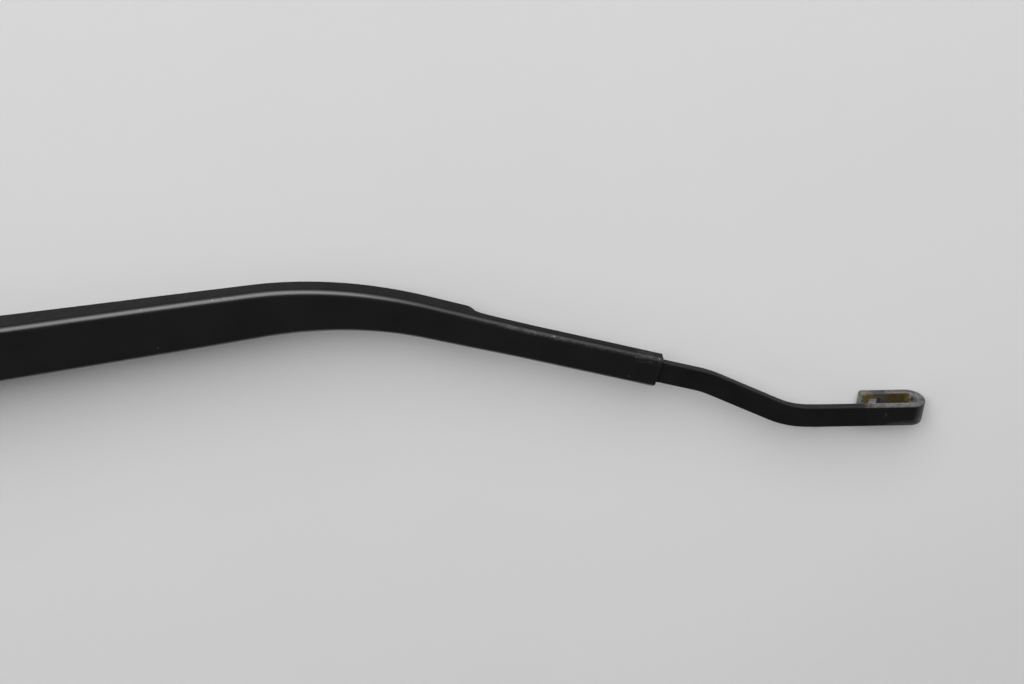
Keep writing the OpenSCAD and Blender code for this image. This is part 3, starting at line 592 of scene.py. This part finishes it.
# Points round a corner and over the section's long and short sides, and the rings along the bar: their
# distances in millimetres and the number at the end
barSteps = {"corner": 6, "wide": 6, "narrow": 4, "long": 0.8, "short": 0.35, "shortBefore": 2, "endFrom": 1.3, "end": 9}
hookR = bar["gap"] / 2 + bar["t"]
legLen = bar["tip"] - bar["dipAt"] - (bar["dipR"] + bar["t"]) * math.radians(bar["dip"]) - hookR
hookLine = [(bar["dipAt"], -bar["dip"], bar["dipR"] + bar["t"] / 2), (legLen, -180, hookR - bar["t"] / 2),
            (bar["hookLen"] - hookR, 0, 1)]
hookFrom, hookEnd = rowStart(planLine, 3), rowStart(hookLine, 2) + bar["hookLen"] - hookR
barTop = armFrame["face"] - armFrame["sheet"]


# Centre, sideways and upward direction of the bar at distance s: flat first, then in the hook's plane
def barFrame(s):
    x, y, heading = lineAt(planLine, np.minimum(s, hookFrom))
    fx, fz, tilt = lineAt(hookLine, np.maximum(s - hookFrom, 0))
    zero = 0 * x
    fore = np.stack([np.cos(heading), np.sin(heading), zero], -1)
    side = np.stack([-np.sin(heading), np.cos(heading), zero], -1)
    up = np.stack([zero, zero, np.cos(tilt)], -1) - fore * np.sin(tilt)[..., None]
    centre = np.stack([x, y, zero + barTop - bar["t"] / 2 + fz], -1) + fore * fx[..., None]
    return centre, side, up


# Rounded-rectangle section carried along the bar's line; both ends shrink by a quarter round
def makeBar():
    w, t, r, n = bar["w"] / 2, bar["t"] / 2, bar["edge"], barSteps
    corner = np.linspace(0, math.pi / 2, n["corner"])
    a, b = [], []
    for k, (sx, sy) in enumerate([(1, 1), (-1, 1), (-1, -1), (1, -1)]):
        turn = corner + k * math.pi / 2
        a.append(sx * (w - r) + r * np.cos(turn))
        b.append(sy * (t - r) + r * np.sin(turn))
        flat = np.linspace(0, 1, n["wide"] if k % 2 == 0 else n["narrow"])[1:-1]
        nx, ny = [(-1, 1), (-1, -1), (1, -1), (1, 1)][k]
        a.append(mixed(sx * (w - r), nx * (w - r), flat) if k % 2 == 0 else np.full(len(flat), sx * w))
        b.append(np.full(len(flat), sy * t) if k % 2 == 0 else mixed(sy * (t - r), ny * (t - r), flat))
    a, b = np.concatenate(a), np.concatenate(b)
    total = hookFrom + hookEnd
    legFrom = hookFrom + rowStart(hookLine, 1) + legLen
    shortFrom = legFrom - n["shortBefore"]
    s = np.concatenate([np.arange(sleeveAt - bar["tail"], shortFrom, n["long"]),
                        np.arange(shortFrom, total - n["endFrom"], n["short"]),
                        total - bar["corner"] * np.cos(np.linspace(0, math.pi / 2, n["end"]))])
    d = np.maximum(bar["corner"] - (total - s), 0)
    narrow = bar["corner"] - np.sqrt(np.maximum(bar["corner"] ** 2 - d ** 2, 0))
    d = np.maximum(bar["edge"] - (total - s), 0)
    thin = bar["edge"] - np.sqrt(np.maximum(bar["edge"] ** 2 - d ** 2, 0))
    centre, side, up = barFrame(s)
    wide = a[None] * (1 - narrow / w)[:, None]
    high = b[None] * (1 - thin * bar["thinEnd"] / t)[:, None]
    points = centre[:, None] + side[:, None] * wide[..., None] + up[:, None] * high[..., None]
    points = fromArm(points[..., 0], points[..., 1], points[..., 2])
    rings, ring = len(s), len(a)
    ends = [list(range(ring))[::-1], [(rings - 1) * ring + k for k in range(ring)]]
    one = np.ones((rings, ring))
    return makePiece("barSkin", points.reshape(-1, 3), ringQuads(rings, ring), ends,
                     layers={"along": s[:, None] * one * mm, "across": a / w * one, "depth": b / t * one}, sharp=35)


# Rounded rectangle, carried straight through the free leg
def windowCutter():
    length, width, r = bar["windowLen"], bar["windowW"], bar["windowCorner"]
    corner = np.linspace(0, math.pi / 2, barSteps["corner"])
    x, y = [], []
    for k, (sx, sy) in enumerate([(1, 1), (-1, 1), (-1, -1), (1, -1)]):
        x.append(sx * (length / 2 - r) + r * np.cos(corner + k * math.pi / 2))
        y.append(sy * (width / 2 - r) + r * np.sin(corner + k * math.pi / 2))
    x, y = np.concatenate(x), np.concatenate(y)
    at = hookFrom + hookEnd - bar["windowEnd"] - length / 2
    centre, side, up = barFrame(np.array([at]))
    ahead = np.cross(side, up)
    rows = [centre + ahead * x[:, None] + side * y[:, None] + up * z for z in (-2 * bar["t"], 2 * bar["t"])]
    points = np.stack(rows)
    points = fromArm(points[..., 0], points[..., 1], points[..., 2]).reshape(-1, 3)
    ring = len(x)
    ends, none = [list(range(ring))[::-1], list(range(ring, 2 * ring))], np.zeros(2 * ring)
    return makePiece("windowCutter", points, ringQuads(2, ring), ends,
                     layers={"along": none + at * mm, "across": none, "depth": none})


barSkin = cutWith(makeBar(), windowCutter())
smoothShade(barSkin.data, 35)
dress(barSkin, paintBar, "arm", "arm_strip")
print("bar made", len(barSkin.data.polygons))

# The two rivets are turned forms about the hinge's and the anchor's axis
hinge = {"pinR": 2.5, "headR": 4.6, "head": 1.3, "rim": 0.5, "wallGap": 0.1, "edge": 0.25}
anchor = {"x": 95, "z": 1, "r": 2, "headR": 3.4}


# Shank between two domed heads; the dome is a piece of a ball through the head's rim and its top
def rivetProfile(r, headR, half, head, rim):
    ball = (headR ** 2 + (head - rim) ** 2) / (2 * (head - rim))
    dome = [(q, half + head - ball + math.sqrt(ball ** 2 - q ** 2)) for q in np.linspace(0, headR, 9)]
    one = dome + [(headR, half), (r, half)]
    one = softened(one, hinge["edge"])
    return one + [(q, -h) for q, h in one[::-1]]


# A rivet across the arm at a place (along, up) of the arm's own frame, with its heads outside the flanges
def rivet(name, at, r, headR, half, node):
    x, z = fromArm(np.array(at[0]), np.array(0), np.array(at[1]))[[0, 2]] / mm
    profile = rivetProfile(r, headR, half + hinge["wallGap"], hinge["head"], hinge["rim"])
    dress(turned(name, profile, (x, 0, z), (0, 1, 0)), zincPlate, "arm", node)


rivet("hingeRivet", (0, 0), hinge["pinR"], hinge["headR"], channel["rootW"] / 2, "hinge_pin")
anchorHalf = float(throughStations(np.array(anchor["x"] - anchor["headR"]), 1)) / 2
rivet("anchorRivet", (anchor["x"], anchor["z"]), anchor["r"], anchor["headR"], anchorHalf, "spring_anchor")
print("rivets made")


copyFinish = {"weld": 1e-6, "flatAngle": 0.5, "segments": 3, "sharp": 30}


# A copy of a CAD node: loose triangles are merged, flat faces joined, and edges get a small bevel
def beveledCopy(node, name, width):
    piece = frame["nodes"][node].copy()
    piece.data = piece.data.copy()
    piece.name, piece.parent = name, None
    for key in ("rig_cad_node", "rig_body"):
        if key in piece:
            del piece[key]
    bpy.context.scene.collection.objects.link(piece)
    weld = piece.modifiers.new("weld", "WELD")
    weld.merge_threshold = copyFinish["weld"]
    flat = piece.modifiers.new("flat", "DECIMATE")
    flat.decimate_type, flat.angle_limit = "DISSOLVE", math.radians(copyFinish["flatAngle"])
    soft = piece.modifiers.new("soft", "BEVEL")
    soft.width, soft.segments, soft.limit_method = width * mm, copyFinish["segments"], "ANGLE"
    soft.angle_limit, soft.use_clamp_overlap = math.radians(copyFinish["sharp"]), True
    applyModifiers(piece)
    piece.data.name = name
    smoothShade(piece.data, copyFinish["sharp"])
    return piece


# node, name of the copy, bevel in millimetres, finish, body and slot
copies = [("mounting_head", "castHead", 0.35, castBlack, "head", "head_casting"),
          ("spring_link", "linkPlate", 0.25, zincPlate, "link", "plated_steel"),
          ("link_pin", "linkPin", 0.2, zincPlate, "head", "plated_steel"),
          ("hinge_bush_left", "bushLeft", 0.12, bushBronze, "head", "bush_bronze"),
          ("hinge_bush_right", "bushRight", 0.12, bushBronze, "head", "bush_bronze"),
          ("nut_cap", "nutCap", 0.35, capPlastic, "head", "cap_plastic")]
for node, copyName, bevel, finish, body, slotName in copies:
    dress(beveledCopy(node, copyName, bevel), finish, body, node)
print("head, link and pins made")

# Spring: hook through the link's eye, close coils, hook round the anchor rivet
coil = {"wire": 2, "outer": 10, "linkAt": (47, 6.9), "linkLen": 24, "lead": 2, "leadAngle": 60, "room": 0.05,
        "pitch": 1.03, "nearHook": 80, "farHook": 160, "hookStep": 5, "sides": 14, "perTurn": 32}


# Round wire carried along half a loop, a helix of close turns and a second half loop; the wire's
# own frame comes from the direction out of the coil
def makeSpring():
    x, z = fromArm(np.array(float(anchor["x"])), np.array(0.0), np.array(float(anchor["z"])))[[0, 2]] / mm
    dx, dz = x - coil["linkAt"][0], z - coil["linkAt"][1]
    angle, r = math.atan2(dz, dx), (coil["outer"] - coil["wire"]) / 2
    farHook = math.hypot(dx, dz) - coil["linkLen"] + anchor["r"] + coil["room"] + coil["wire"] / 2 - r
    room = farHook - r - 2 * coil["lead"]
    turns = math.floor(room / (coil["wire"] * coil["pitch"]) - 0.25)
    sweep = 360 * turns + 90
    b = np.linspace(0, sweep, turns * coil["perTurn"] + 9)
    near = np.clip(b / coil["leadAngle"], 0, 1) * math.pi / 2
    far = np.clip(1 - (sweep - b) / coil["leadAngle"], 0, 1) * math.pi / 2
    along = r + room * b / sweep + coil["lead"] * np.sin(near) + coil["lead"] * (1 - np.cos(far))
    step = coil["hookStep"]
    q, a = np.radians(b), np.radians(np.arange(-coil["nearHook"], coil["nearHook"] + 1, step))
    e = np.radians(np.arange(step, coil["farHook"] + 1, step))
    path = np.concatenate([
        np.stack([r - r * np.cos(a), r * np.sin(a), 0 * a], -1),
        np.stack([along, r * np.cos(q), r * np.sin(q)], -1),
        np.stack([farHook + r * np.sin(e), 0 * e, r * np.cos(e)], -1)])
    out = np.concatenate([np.stack([-np.cos(a), np.sin(a), 0 * a], -1), np.stack([0 * q, np.cos(q), np.sin(q)], -1),
                          np.stack([np.sin(e), 0 * e, np.cos(e)], -1)])
    along = np.gradient(path, axis=0)
    along /= np.linalg.norm(along, axis=1)[:, None]
    out -= along * np.einsum("ij,ij->i", out, along)[:, None]
    out /= np.linalg.norm(out, axis=1)[:, None]
    other = np.cross(along, out)
    ring = np.linspace(0, 2 * math.pi, coil["sides"], endpoint=False)
    ways = out[:, None] * np.cos(ring)[:, None] + other[:, None] * np.sin(ring)[:, None]
    skin = path[:, None] + ways * coil["wire"] / 2
    px, py, pz = skin[..., 0] + coil["linkLen"], skin[..., 1], skin[..., 2]
    points = np.stack([coil["linkAt"][0] + px * math.cos(angle) - pz * math.sin(angle), py,
                       coil["linkAt"][1] + px * math.sin(angle) + pz * math.cos(angle)], -1) * mm
    rings, sides = len(path), coil["sides"]
    ends = [list(range(sides))[::-1], [(rings - 1) * sides + k for k in range(sides)]]
    return makePiece("springWire", points.reshape(-1, 3), ringQuads(rings, sides), ends)


dress(makeSpring(), springSteel, "spring", "tension_spring")
print("spring made")

# Pale floor under the hook's lowest point, and soft panels behind the upper edge and at both ends
studio = {"floorGrey": 0.72, "floorDrop": 0.3, "floorCells": 80, "half": 4, "riseFrom": 2.2, "rise": 1.1,
          "glowFrom": 0.8, "glowTo": 2.8, "glow": 0.38, "aim": (330, -20, 0), "world": 0.07}
# Each panel's direction from the arm, its distance and size in millimetres, and its radiance
panels = {"backLight": {"way": (-0.125, 0.785, 0.62), "far": 3010, "size": (2760, 2640), "radiance": 5.3},
          "bowLight": {"way": (0.443, 0.8145, 0.62), "far": 3500, "size": (1606, 2640), "radiance": 1.0},
          "leftLight": {"way": (-0.85, 0.15, 0.5), "far": 3800, "size": (2600, 2000), "radiance": 0.7},
          "rightLight": {"way": (0.88, -0.25, 0.45), "far": 3800, "size": (2600, 2000), "radiance": 0.45}}


# A grid that rises softly with the distance from its middle, like a studio sweep; far off it glows a
# little for the rays that see or mirror it, so that the background stays pale from every side
def makeFloor():
    z = cadBox[0][2] - studio["floorDrop"] * mm
    cells = studio["floorCells"]
    u = np.linspace(-studio["half"], studio["half"], cells + 1)
    x, y = np.meshgrid(u, u, indexing="ij")
    far = np.hypot(x, y)
    rise = smoothStep((far - studio["riseFrom"]) / (studio["half"] - studio["riseFrom"])) * studio["rise"]
    points = np.stack([x + studio["aim"][0] * mm, y, z + rise], -1).reshape(-1, 3)
    i, j = np.meshgrid(np.arange(cells), np.arange(cells), indexing="ij")
    corner, right = i * (cells + 1) + j, (i + 1) * (cells + 1) + j
    quads = np.stack([corner, right, right + 1, corner + 1], -1).reshape(-1, 4)
    mesh = bpy.data.meshes.new("floor")
    mesh.from_pydata(points.tolist(), [], quads.tolist())
    layer = mesh.attributes.new("far", "FLOAT", "POINT")
    layer.data.foreach_set("value", far.astype(np.float32).ravel())
    mesh.polygons.foreach_set("use_smooth", np.ones(len(mesh.polygons), bool))
    floor = bpy.data.objects.new("floor", mesh)
    bpy.context.scene.collection.objects.link(floor)
    p = Paint("paleFloor", Roughness=0.85, Specular_IOR_Level=0.25)
    tone = grey(studio["floorGrey"])
    p.to("Base Color", p.mix(p.band(p.noise(3, 3), 0.3, 0.7), tone, scaled(tone, 1.03)))
    ray = p.add("ShaderNodeLightPath").outputs
    seen = p.math("MAXIMUM", ray["Is Camera Ray"], p.math("MAXIMUM", ray["Is Glossy Ray"], ray["Is Transmission Ray"]))
    glow = p.band(p.layer("far"), studio["glowFrom"], studio["glowTo"], 0.0, studio["glow"])
    p.to("Emission Color", (1, 1, 1, 1))
    p.to("Emission Strength", p.math("MULTIPLY", glow, seen))
    mesh.materials.append(p.material)


# A panel's power is its radiance times its area times pi
def makeLight(name, row):
    wide, high = (q * mm for q in row["size"])
    lamp = bpy.data.lights.new(name, "AREA")
    lamp.shape, lamp.size, lamp.size_y = "RECTANGLE", wide, high
    lamp.energy = row["radiance"] * wide * high * math.pi
    light = bpy.data.objects.new(name, lamp)
    bpy.context.scene.collection.objects.link(light)
    away = Vector(row["way"]).normalized()
    light.location = Vector(studio["aim"]) * mm + away * row["far"] * mm
    light.rotation_euler = away.to_track_quat("Z", "Y").to_euler()


makeFloor()
for lightName, row in panels.items():
    makeLight(lightName, row)
world = bpy.data.worlds.new("studioWorld")
world.use_nodes = True
background = world.node_tree.nodes["Background"]
background.inputs["Color"].default_value, background.inputs["Strength"].default_value = (1, 1, 1, 1), studio["world"]
bpy.context.scene.world = world
bpy.context.scene.view_settings.view_transform = "Standard"
print("floor and light set")
